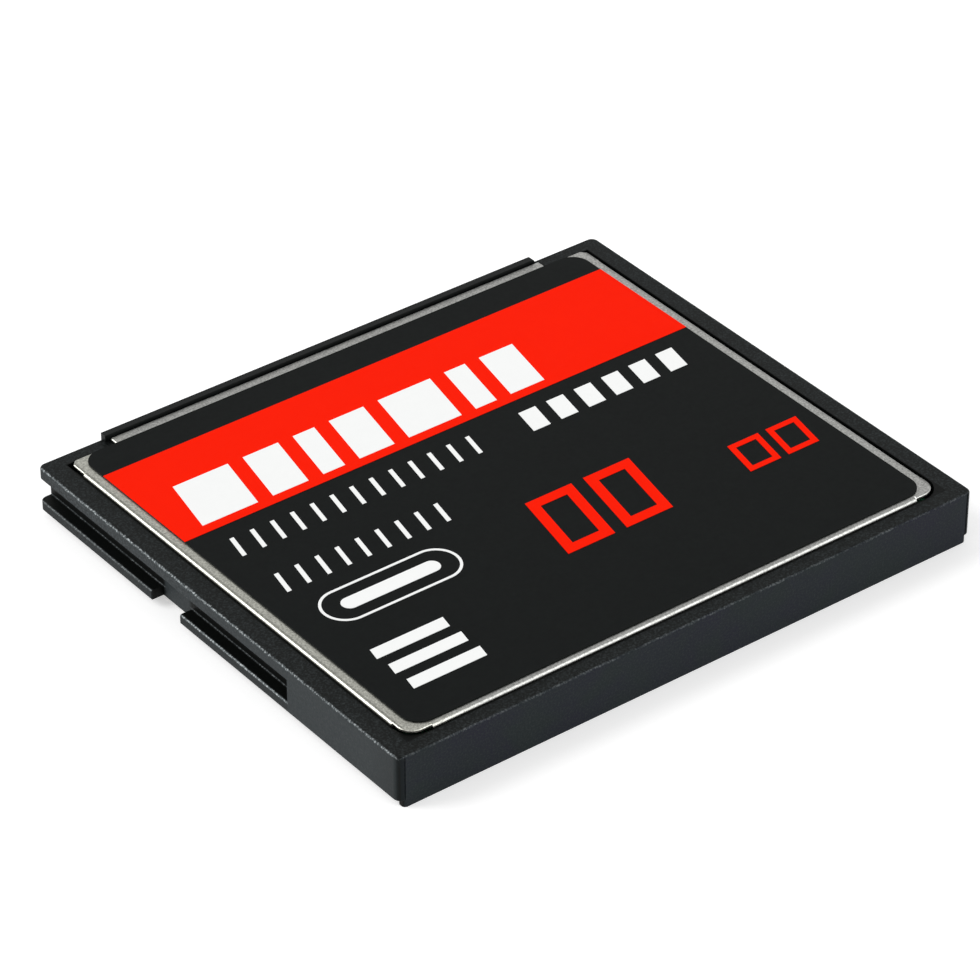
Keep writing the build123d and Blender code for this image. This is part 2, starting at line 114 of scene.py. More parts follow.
# The solder beads: the size of the largest in millimetres, and the smallest as a share of it
BEAD_WIDTH_MM = 0.27
BEAD_HEIGHT_MM = 0.22
SMALLEST_BEAD = 0.75
BEAD_SEED = 7

# The floor, in metres from its middle to its edges
FLOOR_HALF = 3.0

# The lamps: a name, the direction that it shines from, its strength, and its spread in degrees
LAMPS = [
    ("key", (-0.62, 0.50, 0.60), 1.8, 35),
    ("fill", (0.50, -0.66, 0.56), 0.55, 40),
]

# Rows of soldered feet: the piece, the side that its feet point to, how many, and their pitch in mm
SOLDERED_ROWS = [
    ("flash_chip_top_leads", (0, -1), 24, 0.50),
    ("flash_chip_top_leads", (0, 1), 24, 0.50),
    ("flash_chip_bottom_leads", (0, -1), 24, 0.50),
    ("flash_chip_bottom_leads", (0, 1), 24, 0.50),
    ("controller_leads", (0, -1), 11, 0.80),
    ("controller_leads", (0, 1), 11, 0.80),
    ("controller_leads", (-1, 0), 11, 0.80),
    ("controller_leads", (1, 0), 11, 0.80),
    ("regulator_leads", (0, -1), 2, 2.10),
    ("regulator_leads", (0, 1), 1, 2.10),
    ("upper_contacts", (0, -1), 25, 1.27),
    ("lower_contacts", (0, -1), 25, 1.27),
]


def linear(hex_colour):
    """An sRGB colour such as #FF2600 as the linear RGBA that Blender mixes."""
    channels = [int(hex_colour[i:i + 2], 16) / 255 for i in (1, 3, 5)]
    return [c / 12.92 if c <= 0.04045 else ((c + 0.055) / 1.055) ** 2.4 for c in channels] + [1.0]


def add(tree, kind, inputs=None, output=0, **settings):
    """Adds a node with its settings, sets or links the inputs that are named, and gives one output."""
    made = tree.nodes.new(kind)
    for name, value in settings.items():
        setattr(made, name, value)
    for key, value in (inputs or {}).items():
        if isinstance(value, bpy.types.NodeSocket):
            tree.links.new(value, made.inputs[key])
        else:
            made.inputs[key].default_value = value
    return made.outputs[output] if made.outputs else None


def per_mm(size_mm):
    """A texture's scale for features of this size in millimetres."""
    return 1 / (size_mm * MM)


def begin(name):
    """A new empty material: itself, its tree, and the position on the piece."""
    material = bpy.data.materials.new(name)
    material.use_nodes = True
    material.node_tree.nodes.clear()
    place = add(material.node_tree, "ShaderNodeTexCoord", output="Object")
    return material, material.node_tree, place


def end(material, inputs):
    """Joins a principled shader with these inputs to the material's output."""
    tree = material.node_tree
    shader = add(tree, "ShaderNodeBsdfPrincipled", inputs)
    add(tree, "ShaderNodeOutputMaterial", {"Surface": shader})
    return material


def insets(tree, place):
    """How far a point of the frame lies in from the nearer side, the nearer end and the top."""
    folded = add(tree, "ShaderNodeVectorMath", {0: place}, operation="ABSOLUTE")
    inset = add(tree, "ShaderNodeVectorMath", {
        0: (HALF_WIDTH, HALF_LENGTH, FRAME_TOP), 1: folded,
    }, operation="SUBTRACT")
    return [add(tree, "ShaderNodeSeparateXYZ", {0: inset}, output=axis) for axis in "XYZ"]


def groove_line(tree, place, side, depth_mm, height_mm):
    """How far a point is from a line along a side groove, and whether it is beside that groove."""
    from_side = insets(tree, place)[0]
    across = add(tree, "ShaderNodeMath", {0: from_side, 1: depth_mm * MM}, operation="SUBTRACT")
    across = add(tree, "ShaderNodeMath", {0: across}, operation="ABSOLUTE")
    height = add(tree, "ShaderNodeSeparateXYZ", {0: place}, output="Z")
    rise = add(tree, "ShaderNodeMath", {0: height, 1: height_mm * MM}, operation="SUBTRACT")
    rise = add(tree, "ShaderNodeMath", {0: rise}, operation="ABSOLUTE")
    distance = add(tree, "ShaderNodeMath", {0: across, 1: rise}, operation="MAXIMUM")
    sideways = add(tree, "ShaderNodeSeparateXYZ", {0: place}, output="X")
    sideways = add(tree, "ShaderNodeMath", {0: sideways, 1: side}, operation="MULTIPLY")
    this_side = add(tree, "ShaderNodeMath", {0: sideways, 1: 0.0}, operation="GREATER_THAN")
    along = add(tree, "ShaderNodeSeparateXYZ", {0: place}, output="Y")
    beside = add(tree, "ShaderNodeMath", {0: along, 1: GROOVE_END}, operation="GREATER_THAN")
    return distance, add(tree, "ShaderNodeMath", {0: this_side, 1: beside}, operation="MULTIPLY")


def painted_opening_shadow(tree, place):
    """From 0 to 1 on the thin rounded edge of the opening: a painted shadow of the covers."""
    full, none = OPENING_SHADOW_MM
    centred = add(tree, "ShaderNodeVectorMath", {
        0: place, 1: (OPENING_MIDDLE_MM[0] * MM, OPENING_MIDDLE_MM[1] * MM, 0.0),
    }, operation="SUBTRACT")
    folded = add(tree, "ShaderNodeVectorMath", {0: centred}, operation="ABSOLUTE")
    beyond = add(tree, "ShaderNodeVectorMath", {
        0: folded, 1: (OPENING_HALF_MM[0] * MM, OPENING_HALF_MM[1] * MM, 0.0),
    }, operation="SUBTRACT")
    sideways, lengthways = [
        add(tree, "ShaderNodeSeparateXYZ", {0: beyond}, output=axis) for axis in "XY"
    ]
    distance = add(tree, "ShaderNodeMath", {0: sideways, 1: lengthways}, operation="MAXIMUM")
    return add(tree, "ShaderNodeMapRange", {
        "Value": distance, "From Min": none * MM, "From Max": full * MM,
    }, interpolation_type="SMOOTHSTEP")


def in_the_notch(tree, place):
    """From 0 to 1 on the wall that the notch in each lower rail leaves open to rubbing."""
    start, stop = NOTCH_FROM_END_MM
    middle_mm = (start + stop) / 2
    half_mm = (stop - start) / 2
    from_side, _, from_top = insets(tree, place)
    along = add(tree, "ShaderNodeSeparateXYZ", {0: place}, output="Y")
    from_contacts = add(tree, "ShaderNodeMath", {0: HALF_LENGTH, 1: along}, operation="SUBTRACT")
    off_middle = add(tree, "ShaderNodeMath", {0: from_contacts, 1: middle_mm * MM}, operation="SUBTRACT")
    off_middle = add(tree, "ShaderNodeMath", {0: off_middle}, operation="ABSOLUTE")
    share = add(tree, "ShaderNodeMapRange", {
        "Value": off_middle, "From Min": half_mm * MM, "From Max": (half_mm - NOTCH_FADE_MM) * MM,
    }, interpolation_type="SMOOTHSTEP")
    low = add(tree, "ShaderNodeMath", {0: from_top, 1: BELOW_TOP_MM * MM}, operation="GREATER_THAN")
    shallow = add(tree, "ShaderNodeMath", {0: from_side, 1: JUST_PAST_GROOVE}, operation="LESS_THAN")
    for part in (low, shallow):
        share = add(tree, "ShaderNodeMath", {0: share, 1: part}, operation="MULTIPLY")
    return share


def edge_wear_and_painted_highlights(tree, place):
    """From 0 to 1 where the frame's edges are rubbed pale and painted with highlights: in specks at the
    sides, dimly at the ends.
    """
    speckle = add(tree, "ShaderNodeTexNoise", {
        "Vector": place, "Scale": per_mm(0.16), "Detail": 3.0, "Roughness": 0.7,
    })
    stretches = add(tree, "ShaderNodeTexNoise", {"Vector": place, "Scale": per_mm(1.6), "Detail": 4.0})
    broken = add(tree, "ShaderNodeMapRange", {
        "Value": stretches, "From Min": 0.40, "From Max": 0.60, "To Min": 0.05, "To Max": 0.20,
    })
    from_side, from_end, from_top = insets(tree, place)
    side_edge = add(tree, "ShaderNodeMath", {0: from_side, 1: from_top}, operation="MAXIMUM")
    end_edge = add(tree, "ShaderNodeMath", {0: from_end, 1: from_top}, operation="MAXIMUM")
    along = add(tree, "ShaderNodeSeparateXYZ", {0: place}, output="Y")
    start, stop = EDGE_WEAR_AND_HIGHLIGHT_GROWS_MM
    towards_contacts = add(tree, "ShaderNodeMapRange", {
        "Value": along, "From Min": start * MM, "From Max": stop * MM, "To Min": 0.78,
    })
    near, far = NOTCH_FROM_END_MM
    rail = add(tree, "ShaderNodeMapRange", {
        "Value": along, "From Min": HALF_LENGTH - far * MM, "From Max": HALF_LENGTH - near * MM,
        "To Min": 1.0, "To Max": 0.38,
    })
    notch = in_the_notch(tree, place)
    # A painted highlight along each groove's inner lower edge, at 0.35 and none in the notch
    inner_painted_highlight = add(tree, "ShaderNodeMapRange", {"Value": notch, "To Min": 0.35, "To Max": 0.0})
    # Each line of pale wear and painted highlight: the distance from it, its measures, and its strength
    lines = [(side_edge, SIDE_WEAR_AND_HIGHLIGHT_MM, towards_contacts), (end_edge, END_WEAR_AND_HIGHLIGHT_MM, broken)]
    for side, (lower, upper) in GROOVE_EDGES_MM.items():
        for depth, height, measures, strength in [
            (0.0, upper, GROOVE_WEAR_AND_HIGHLIGHT_MM, GROOVE_WEAR_AND_HIGHLIGHT),
            (0.0, lower, RAIL_WEAR_AND_HIGHLIGHT_MM, rail),
            (GROOVE_DEPTH_MM, lower, GROOVE_WEAR_AND_HIGHLIGHT_MM, inner_painted_highlight),
        ]:
            distance, beside = groove_line(tree, place, side, depth, height)
            here = add(tree, "ShaderNodeMath", {0: beside, 1: strength}, operation="MULTIPLY")
            lines.append((distance, measures, here))
    rubbed = 0.0
    for distance, (ragged, full, none), strength in lines:
        uneven = add(tree, "ShaderNodeMath", {
            0: speckle, 1: ragged * MM, 2: distance,
        }, operation="MULTIPLY_ADD")
        line = add(tree, "ShaderNodeMapRange", {
            "Value": uneven, "From Min": none * MM, "From Max": full * MM, "To Max": strength,
        }, interpolation_type="SMOOTHSTEP")
        rubbed = add(tree, "ShaderNodeMath", {0: rubbed, 1: line}, operation="MAXIMUM")
    return rubbed


def scuffed_walls(tree, place):
    """From 0 to 1 on the outer side walls, rubbed in slots: a haze, gritty towards the contacts."""
    grit = add(tree, "ShaderNodeTexNoise", {
        "Vector": place, "Scale": per_mm(0.17), "Detail": 3.0, "Roughness": 0.7,
    })
    haze = add(tree, "ShaderNodeMapRange", {
        "Value": grit, "From Min": 0.3, "From Max": 0.7, "To Min": 0.62,
    })
    gritty = add(tree, "ShaderNodeMapRange", {
        "Value": grit, "From Min": 0.42, "From Max": 0.62, "To Min": 0.30, "To Max": 1.6,
    })
    along = add(tree, "ShaderNodeSeparateXYZ", {0: place}, output="Y")
    start, stop = WALL_WEAR_GROWS_MM
    used = add(tree, "ShaderNodeMapRange", {"Value": along, "From Min": start * MM, "From Max": stop * MM})
    tone_amount = add(tree, "ShaderNodeMix", {0: used, 2: haze, 3: gritty})
    height = add(tree, "ShaderNodeSeparateXYZ", {0: place}, output="Z")
    low, high = RAIL_RUBBED_MM
    rubbing = add(tree, "ShaderNodeMapRange", {
        "Value": height, "From Min": low * MM, "From Max": high * MM, "To Min": 0.45,
    })
    in_front = add(tree, "ShaderNodeMath", {0: along, 1: GROOVE_END}, operation="LESS_THAN")
    rubbing = add(tree, "ShaderNodeMath", {0: rubbing, 1: in_front}, operation="MAXIMUM")
    from_side, from_end, _ = insets(tree, place)
    at_the_end = add(tree, "ShaderNodeMapRange", {
        "Value": from_end, "From Min": 0.3 * MM, "From Max": 3.0 * MM, "To Min": 0.55,
    })
    for share in (rubbing, at_the_end):
        tone_amount = add(tree, "ShaderNodeMath", {0: tone_amount, 1: share}, operation="MULTIPLY")
    outer = add(tree, "ShaderNodeMapRange", {
        "Value": from_side, "From Min": 0.10 * MM, "From Max": 0.02 * MM,
    }, interpolation_type="SMOOTHSTEP")
    tone_amount = add(tree, "ShaderNodeMath", {0: tone_amount, 1: outer}, operation="MULTIPLY")
    notch = add(tree, "ShaderNodeMath", {0: in_the_notch(tree, place), 1: haze}, operation="MULTIPLY")
    return add(tree, "ShaderNodeMath", {0: tone_amount, 1: notch}, operation="MAXIMUM")


def painted_corner_shade(tree, place):
    """From 0 to 1 round the four upright corners, where shade is painted darker."""
    from_side, from_end, from_top = insets(tree, place)
    corner = add(tree, "ShaderNodeMath", {0: from_side, 1: from_end}, operation="MAXIMUM")
    rounded = add(tree, "ShaderNodeMapRange", {
        "Value": corner, "From Min": CORNER_RADIUS_MM * MM, "From Max": 0.7 * CORNER_RADIUS_MM * MM,
    }, interpolation_type="SMOOTHSTEP")
    upright = add(tree, "ShaderNodeMapRange", {
        "Value": from_top, "From Min": 0.05 * MM, "From Max": 0.20 * MM, "To Max": 0.75,
    })
    return add(tree, "ShaderNodeMath", {0: rounded, 1: upright}, operation="MULTIPLY")


def painted_groove_shade(tree, place):
    """From 0 to 1 inside the side grooves: painted shade in the hollows, left out in the notch."""
    from_side, from_end, from_top = insets(tree, place)
    deep = add(tree, "ShaderNodeMapRange", {
        "Value": from_side, "From Min": 0.08 * MM, "From Max": 0.20 * MM,
    }, interpolation_type="SMOOTHSTEP")
    low = add(tree, "ShaderNodeMapRange", {
        "Value": from_top, "From Min": BELOW_TOP_MM * MM, "From Max": (BELOW_TOP_MM + 0.2) * MM,
    }, interpolation_type="SMOOTHSTEP")
    within = add(tree, "ShaderNodeMath", {0: from_side, 1: JUST_PAST_GROOVE}, operation="LESS_THAN")
    not_end = add(tree, "ShaderNodeMath", {0: from_end, 1: 0.1 * MM}, operation="GREATER_THAN")
    closed = add(tree, "ShaderNodeMath", {0: 1.0, 1: in_the_notch(tree, place)}, operation="SUBTRACT")
    hollow = deep
    for share in (low, within, not_end, closed):
        hollow = add(tree, "ShaderNodeMath", {0: hollow, 1: share}, operation="MULTIPLY")
    return hollow


def glass_filled_pbt():
    """The frame."""
    # Glass-filled PBT, moulded in a spark-eroded tool: near-black, cooler in cloudy patches on the end
    # walls, with an even fine grain that breaks up highlights, and outer edges rubbed pale in specks with
    # painted highlights along them. Painted shade darkens the upright corners, the grooves' insides and
    # the opening's rim.
    # The grain is drawn a little coarser than the real 0.05 mm, so that it shows.
    material, tree, place = begin("glass_filled_pbt")
    grain = add(tree, "ShaderNodeTexNoise", {
        "Vector": place, "Scale": per_mm(0.13), "Detail": 3.0, "Roughness": 0.65,
    })
    flow = add(tree, "ShaderNodeTexNoise", {
        "Vector": place, "Scale": per_mm(4.0), "Detail": 3.0, "Roughness": 0.5, "Distortion": 0.6,
    })
    clouds = add(tree, "ShaderNodeMapRange", {"Value": flow, "From Min": 0.38, "From Max": 0.62})
    cool = add(tree, "ShaderNodeMix", {
        0: clouds, 6: linear("#172022"), 7: linear("#181A27"),
    }, output=2, data_type="RGBA")
    end_wall = add(tree, "ShaderNodeMapRange", {
        "Value": insets(tree, place)[1], "From Min": 0.12 * MM, "From Max": 0.04 * MM,
    })
    body = add(tree, "ShaderNodeMix", {
        0: end_wall, 6: linear("#090C0B"), 7: cool,
    }, output=2, data_type="RGBA")
    sandy = add(tree, "ShaderNodeMapRange", {"Value": grain, "From Min": 0.45, "From Max": 0.70})
    body = add(tree, "ShaderNodeMix", {
        0: sandy, 6: body, 7: linear("#2E3233"),
    }, output=2, data_type="RGBA")
    # Painted shade down the four upright corners
    body = add(tree, "ShaderNodeMix", {
        0: painted_corner_shade(tree, place), 6: body, 7: linear("#030B0D"),
    }, output=2, data_type="RGBA")
    # Painted shade: the grooves' insides and the opening's rim go near-black
    for share in (painted_groove_shade(tree, place), painted_opening_shadow(tree, place)):
        body = add(tree, "ShaderNodeMix", {
            0: share, 6: body, 7: linear("#030504"),
        }, output=2, data_type="RGBA")
    body = add(tree, "ShaderNodeMix", {
        0: scuffed_walls(tree, place), 6: body, 7: linear("#34393B"),
    }, output=2, data_type="RGBA", clamp_factor=False)
    flecks = add(tree, "ShaderNodeTexNoise", {"Vector": place, "Scale": per_mm(0.12), "Detail": 1.0})
    specks = add(tree, "ShaderNodeMapRange", {"Value": flecks, "From Min": 0.47, "From Max": 0.63})
    pale = add(tree, "ShaderNodeMix", {
        0: specks, 6: linear("#6C7375"), 7: linear("#CCD3D5"),
    }, output=2, data_type="RGBA")
    # Pale wear and painted highlights along the frame's edges
    colour = add(tree, "ShaderNodeMix", {
        0: edge_wear_and_painted_highlights(tree, place), 6: body, 7: pale,
    }, output=2, data_type="RGBA")
    roughness = add(tree, "ShaderNodeMapRange", {
        "Value": grain, "From Min": 0.3, "From Max": 0.7, "To Min": 0.42, "To Max": 0.68,
    })
    relief = add(tree, "ShaderNodeBump", {"Strength": 0.5, "Distance": 0.012 * MM, "Height": grain})
    return end(material, {
        "Base Color": colour, "Roughness": roughness, "Normal": relief,
        "IOR": 1.53, "Specular IOR Level": 0.11,
    })


def painted_bend_shade(tree, place):
    """How bright the sheet is, from 0 to 1: painted shade on the upper cover where side bends start and in
    seams.
    """
    low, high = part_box("top_cover")
    sideways = add(tree, "ShaderNodeSeparateXYZ", {0: place}, output="X")
    sideways = add(tree, "ShaderNodeMath", {0: sideways, 1: (low.x + high.x) / 2}, operation="SUBTRACT")
    sideways = add(tree, "ShaderNodeMath", {0: sideways}, operation="ABSOLUTE")
    inset = add(tree, "ShaderNodeMath", {0: (high.x - low.x) / 2, 1: sideways}, operation="SUBTRACT")
    bright = add(tree, "ShaderNodeMapRange", {
        "Value": inset, "From Min": 0.07 * MM, "From Max": 0.14 * MM, "To Min": 1.0, "To Max": BEND_SHADE,
    }, interpolation_type="SMOOTHSTEP")
    flat = add(tree, "ShaderNodeMapRange", {
        "Value": inset, "From Min": 0.20 * MM, "From Max": 0.32 * MM, "To Min": BEND_SHADE,
    }, interpolation_type="SMOOTHSTEP")
    bright = add(tree, "ShaderNodeMath", {0: bright, 1: flat}, operation="MAXIMUM")
    height = add(tree, "ShaderNodeSeparateXYZ", {0: place}, output="Z")
    seam = add(tree, "ShaderNodeMapRange", {
        "Value": height, "From Min": FRAME_TOP + 0.04 * MM, "From Max": FRAME_TOP + 0.13 * MM,
        "To Min": SEAM_SHADE,
    }, interpolation_type="SMOOTHSTEP")
    foot = add(tree, "ShaderNodeMapRange", {
        "Value": inset, "From Min": 0.01 * MM, "From Max": 0.05 * MM, "To Min": FOOT_SHADE,
    }, interpolation_type="SMOOTHSTEP")
    seam = add(tree, "ShaderNodeMath", {0: seam, 1: foot}, operation="MINIMUM")
    tone_amount = add(tree, "ShaderNodeMath", {0: bright, 1: seam}, operation="MINIMUM")
    lower_cover = add(tree, "ShaderNodeMath", {0: height, 1: FRAME_TOP / 2}, operation="LESS_THAN")
    return add(tree, "ShaderNodeMath", {0: tone_amount, 1: lower_cover}, operation="MAXIMUM")


def satin_stainless():
    """The two sheet covers."""
    # Stainless sheet with a fine bead-blasted satin: light grey with an even salt-and-pepper grain,
    # drawn a little coarser than the real one so that it shows, and a broad soft highlight that
    # whitens the bends
    material, tree, place = begin("satin_stainless")
    blasted = add(tree, "ShaderNodeTexNoise", {
        "Vector": place, "Scale": per_mm(0.13), "Detail": 3.0, "Roughness": 0.75,
    })
    rolled = add(tree, "ShaderNodeMapping", {"Vector": place, "Scale": (0.1, 1.0, 1.0)})
    lines = add(tree, "ShaderNodeTexNoise", {"Vector": rolled, "Scale": per_mm(0.12), "Detail": 2.0})
    peppered = add(tree, "ShaderNodeMapRange", {"Value": blasted, "From Min": 0.34, "From Max": 0.66})
    colour = add(tree, "ShaderNodeMix", {
        0: peppered, 6: linear("#9A9B98"), 7: linear("#D8D8D4"),
    }, output=2, data_type="RGBA")
    # Handling has left the side that the card is held by a touch paler and warmer
    handled = add(tree, "ShaderNodeMix", {
        0: peppered, 6: linear("#A3A39B"), 7: linear("#E4E4D9"),
    }, output=2, data_type="RGBA")
    sideways = add(tree, "ShaderNodeSeparateXYZ", {0: place}, output="X")
    full, none = HELD_MM
    held = add(tree, "ShaderNodeMapRange", {
        "Value": sideways, "From Min": none * MM, "From Max": full * MM,
    })
    colour = add(tree, "ShaderNodeMix", {0: held, 6: colour, 7: handled}, output=2, data_type="RGBA")
    # Painted shade: the upper cover darkened where side bends start, in its seams with the frame and at a
    # bend's foot
    colour = add(tree, "ShaderNodeMix", {
        0: painted_bend_shade(tree, place), 6: (0.0, 0.0, 0.0, 1.0), 7: colour,
    }, output=2, data_type="RGBA")
    roughness = add(tree, "ShaderNodeMapRange", {
        "Value": lines, "From Min": 0.3, "From Max": 0.7, "To Min": 0.30, "To Max": 0.42,
    })
    relief = add(tree, "ShaderNodeBump", {"Strength": 0.6, "Distance": 0.006 * MM, "Height": blasted})
    return end(material, {
        "Base Color": colour, "Metallic": 1.0, "Roughness": roughness, "Normal": relief,
    })


def film_surface(name, low_hex, high_hex, gloss):
    """Printed polyester film: a slight orange peel with a satin sheen, and colour that hardly varies."""
    material, tree, place = begin(name)
    peel = add(tree, "ShaderNodeTexNoise", {"Vector": place, "Scale": per_mm(0.35), "Detail": 3.0})
    mottle = add(tree, "ShaderNodeTexNoise", {
        "Vector": place, "Scale": per_mm(0.9), "Detail": 5.0, "Roughness": 0.7,
    })
    colour = add(tree, "ShaderNodeMix", {
        0: mottle, 6: linear(low_hex), 7: linear(high_hex),
    }, output=2, data_type="RGBA")
    roughness = add(tree, "ShaderNodeMapRange", {"Value": peel, "To Min": 0.45, "To Max": 0.6})
    relief = add(tree, "ShaderNodeBump", {"Strength": 0.2, "Distance": 0.004 * MM, "Height": peel})
    return end(material, {
        "Base Color": colour, "Roughness": roughness, "Normal": relief,
        "IOR": 1.48, "Specular IOR Level": gloss,
    })


def black_polyester_film():
    """The label."""
    # Matt polyester film printed black: a soft even sheen and a faint mottle
    return film_surface("black_polyester_film", "#060808", "#0E1211", gloss=0.085)


def red_ink():
    """The band and the red marks."""
    # Screen-printed red, opaque and a touch duller than the film
    return film_surface("red_ink", "#FC1A00", "#FF1E00", gloss=0.03)


def white_ink():
    """The white marks."""
    # Screen-printed white, opaque and clean
    return film_surface("white_ink", "#F7F8F7", "#FBFCFB", gloss=0.1)


def liquid_crystal_polymer():
    """The contact housing."""
    # Liquid-crystal polymer: black, smoother than the frame, with fine flow lines across the card
    material, tree, place = begin("liquid_crystal_polymer")
    stretched = add(tree, "ShaderNodeMapping", {"Vector": place, "Scale": (0.15, 1.0, 1.0)})
    flow = add(tree, "ShaderNodeTexNoise", {"Vector": stretched, "Scale": per_mm(0.3), "Detail": 4.0})
    colour = add(tree, "ShaderNodeMix", {
        0: flow, 6: linear("#0A0C0C"), 7: linear("#171A1A"),
    }, output=2, data_type="RGBA")
    roughness = add(tree, "ShaderNodeMapRange", {"Value": flow, "To Min": 0.34, "To Max": 0.5})
    relief = add(tree, "ShaderNodeBump", {"Strength": 0.25, "Distance": 0.006 * MM, "Height": flow})
    return end(material, {
        "Base Color": colour, "Roughness": roughness, "Normal": relief,
        "IOR": 1.6, "Specular IOR Level": 0.10,
    })


def plated_metal(name, low_hex, high_hex, rough, grain_mm):
    """Plated metal with a slight cloudiness."""
    material, tree, place = begin(name)
    cloud = add(tree, "ShaderNodeTexNoise", {"Vector": place, "Scale": per_mm(grain_mm), "Detail": 3.0})
    colour = add(tree, "ShaderNodeMix", {
        0: cloud, 6: linear(low_hex), 7: linear(high_hex),
    }, output=2, data_type="RGBA")
    roughness = add(tree, "ShaderNodeMapRange", {
        "Value": cloud, "To Min": rough, "To Max": rough + 0.14,
    })
    return end(material, {"Base Color": colour, "Metallic": 1.0, "Roughness": roughness})


def gold_plate():
    """The contacts."""
    # Thin gold over nickel on spring bronze: pale yellow, bright
    return plated_metal("gold_plate", "#D9B26A", "#E8C884", rough=0.2, grain_mm=0.3)


def matt_tin():
    """The chips' leads."""
    # Matt tin plating: cool pale grey with a crystalline cloudiness
    return plated_metal("matt_tin", "#B4B5B3", "#CBCCC9", rough=0.32, grain_mm=0.12)


def nickel_can():
    """The crystal's can."""
    # Drawn nickel-plated can: slightly warm, smooth
    return plated_metal("nickel_can", "#BDB8AD", "#CFCAC0", rough=0.22, grain_mm=0.5)


def reflowed_solder():
    """The beads at the leads' feet."""
    # Tin, silver and copper, melted and left to cool: bright, with a fine frosty grain
    return plated_metal("reflowed_solder", "#C2C4C6", "#E2E4E6", rough=0.14, grain_mm=0.08)


def solder_resist():
    """The circuit board."""
    # Glass-epoxy board under green solder resist: glossy, with the glass weave just showing through,
    # and copper tracks under it as paler ridges, along the card in some patches and across in others
    material, tree, place = begin("solder_resist")
    warp, weft = [
        add(tree, "ShaderNodeTexWave", {
            "Vector": place, "Scale": per_mm(CLOTH_PITCH_MM) / 2, "Distortion": 0.6, "Detail": 1.0,
        }, output="Fac", wave_type="BANDS", bands_direction=axis)
        for axis in "XY"
    ]
    cloth = add(tree, "ShaderNodeMath", {0: warp, 1: weft}, operation="MULTIPLY")
    colour = add(tree, "ShaderNodeMix", {
        0: cloth, 6: linear("#0E4A2C"), 7: linear("#176040"),
    }, output=2, data_type="RGBA")
    patches = add(tree, "ShaderNodeTexVoronoi", {
        "Vector": place, "Scale": per_mm(6.0),
    }, output="Color", distance="MANHATTAN")
    turned = add(tree, "ShaderNodeSeparateXYZ", {0: patches}, output="X")
    turned = add(tree, "ShaderNodeMath", {0: turned, 1: 0.5}, operation="GREATER_THAN")
    across = add(tree, "ShaderNodeSeparateXYZ", {0: place}, output="X")
    along = add(tree, "ShaderNodeSeparateXYZ", {0: place}, output="Y")
    count = add(tree, "ShaderNodeMix", {0: turned, 2: across, 3: along})
    count = add(tree, "ShaderNodeMath", {0: count, 1: per_mm(TRACK_PITCH_MM)}, operation="MULTIPLY")
    count = add(tree, "ShaderNodeMath", {0: count}, operation="FRACT")
    count = add(tree, "ShaderNodeMath", {0: count, 1: 0.5}, operation="SUBTRACT")
    count = add(tree, "ShaderNodeMath", {0: count}, operation="ABSOLUTE")
    track = add(tree, "ShaderNodeMapRange", {
        "Value": count, "From Min": 0.21, "From Max": 0.17,
    }, interpolation_type="SMOOTHSTEP")
    colour = add(tree, "ShaderNodeMix", {
        0: track, 6: colour, 7: linear("#2A7A50"),
    }, output=2, data_type="RGBA")
    height = add(tree, "ShaderNodeMath", {0: cloth, 1: 0.1, 2: track}, operation="MULTIPLY_ADD")
    relief = add(tree, "ShaderNodeBump", {"Strength": 0.6, "Distance": 0.02 * MM, "Height": height})
    return end(material, {"Base Color": colour, "Roughness": 0.28, "Normal": relief, "IOR": 1.55})


def package_resin():
    """The moulded chip packages."""
    # Silica-filled epoxy: dull charcoal with a fine sandy grain
    material, tree, place = begin("package_resin")
    sand = add(tree, "ShaderNodeTexNoise", {"Vector": place, "Scale": per_mm(0.06), "Detail": 2.0})
    colour = add(tree, "ShaderNodeMix", {
        0: sand, 6: linear("#222325"), 7: linear("#2E2F31"),
    }, output=2, data_type="RGBA")
    roughness = add(tree, "ShaderNodeMapRange", {"Value": sand, "To Min": 0.6, "To Max": 0.78})
    relief = add(tree, "ShaderNodeBump", {"Strength": 0.3, "Distance": 0.008 * MM, "Height": sand})
    return end(material, {"Base Color": colour, "Roughness": roughness, "Normal": relief, "IOR": 1.5})


def tinned_ceramic(name, node, axis, length_mm, pitch_mm, low_hex, high_hex, rough):
    """Fired ceramic blocks in a row, each dipped in tin at the two ends that an axis passes through."""
    material, tree, place = begin(name)
    grain = add(tree, "ShaderNodeTexNoise", {"Vector": place, "Scale": per_mm(0.05), "Detail": 2.0})
    fired = add(tree, "ShaderNodeMix", {
        0: grain, 6: linear(low_hex), 7: linear(high_hex),
    }, output=2, data_type="RGBA")
    along = add(tree, "ShaderNodeSeparateXYZ", {0: place}, output=axis)
    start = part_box(node)[0]["XYZ".index(axis)]
    along = add(tree, "ShaderNodeMath", {0: along, 1: start}, operation="SUBTRACT")
    along = add(tree, "ShaderNodeMath", {0: along, 1: pitch_mm * MM}, operation="FLOORED_MODULO")
    along = add(tree, "ShaderNodeMath", {0: along, 1: length_mm / 2 * MM}, operation="SUBTRACT")
    along = add(tree, "ShaderNodeMath", {0: along}, operation="ABSOLUTE")
    bare_half = 0.28 * length_mm * MM
    tinned = add(tree, "ShaderNodeMath", {0: along, 1: bare_half}, operation="GREATER_THAN")
    colour = add(tree, "ShaderNodeMix", {
        0: tinned, 6: fired, 7: linear("#C4C5C3"),
    }, output=2, data_type="RGBA")
    roughness = add(tree, "ShaderNodeMapRange", {
        "Value": grain, "To Min": rough, "To Max": rough + 0.15,
    })
    return end(material, {"Base Color": colour, "Metallic": tinned, "Roughness": roughness, "IOR": 1.6})


def capacitor_ceramic():
    """The chip capacitors."""
    # Barium titanate between tinned ends: tan, slightly waxy
    return tinned_ceramic(
        "capacitor_ceramic", "capacitors", "X", length_mm=1.0, pitch_mm=3.0,
        low_hex="#8A6B4C", high_hex="#A08060", rough=0.35,
    )


